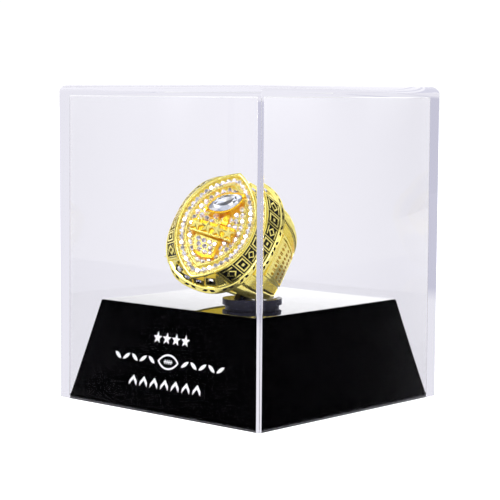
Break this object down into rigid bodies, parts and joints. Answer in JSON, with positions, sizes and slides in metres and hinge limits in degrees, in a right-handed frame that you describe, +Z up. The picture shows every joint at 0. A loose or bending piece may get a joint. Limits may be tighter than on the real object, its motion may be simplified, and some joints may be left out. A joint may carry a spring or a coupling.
{
  "type": "ring display case",
  "caption": "Clear cover over a black tapered base with engraved ornament; a small seat and tongue hold a removable gold championship ring with stones.",
  "frame": {"origin": "on the table under the centre of the base", "axes": "+Z up, -Y towards the engraved front face, +X to the right seen from the front"},
  "size_m": [0.06, 0.06, 0.07],
  "materials": {
    "clear_cover": "polished clear moulded acrylic",
    "black_gloss": "high gloss black, mirror-like at a low angle",
    "base_plate": "black plate with a slightly lighter cut edge",
    "screw_steel": "plain steel",
    "engraving_white": "frosted white engraving",
    "holder_black": "semi-gloss black moulding",
    "gold_plate": "bright polished yellow gold plating, darkened in the recesses",
    "gold_relief": "polished gold relief, deeper orange in the recesses",
    "black_enamel": "glossy black enamel fill",
    "clear_stone": "small faceted clear crystal",
    "large_stone": "large faceted clear crystal, pale blue-grey reflections"
  },
  "bodies": {
    "base": {"base_shell": "black_gloss", "bottom_plate": "base_plate", "plate_screws": "screw_steel", "engraved_stars": "engraving_white", "engraved_football": "engraving_white", "engraved_chevrons": "engraving_white", "holder_seat": "holder_black", "holder_tongue": "holder_black", "holder_screw": "screw_steel"},
    "case_cover": {"cover": "clear_cover"},
    "ring": {"ring_band": "gold_plate", "ring_head": "gold_plate", "skirt_border": "gold_plate", "bezel_rim": "gold_plate", "inner_rim": "gold_plate", "halo_stones": "clear_stone", "pave_stones": "clear_stone", "end_stones": "clear_stone", "trophy_pedestal": "gold_relief", "pedestal_stones": "clear_stone", "star_banner": "gold_relief", "stone_setting": "gold_relief", "large_stone": "large_stone", "enamel_right": "black_enamel", "enamel_left": "black_enamel", "fret_right": "gold_plate", "fret_left": "gold_plate", "shoulder_right": "gold_plate", "shoulder_left": "gold_plate"}
  },
  "joints": [
    {"name": "cover_lift", "type": "slide", "parent": "base", "child": "case_cover", "axis": [0, 0, 1], "range_m": [0, 0.075]},
    {"name": "ring_lift", "type": "slide", "parent": "base", "child": "ring", "axis": [0.0639, 0.5461, 0.8353], "range_m": [0, 0.01]}
  ]
}
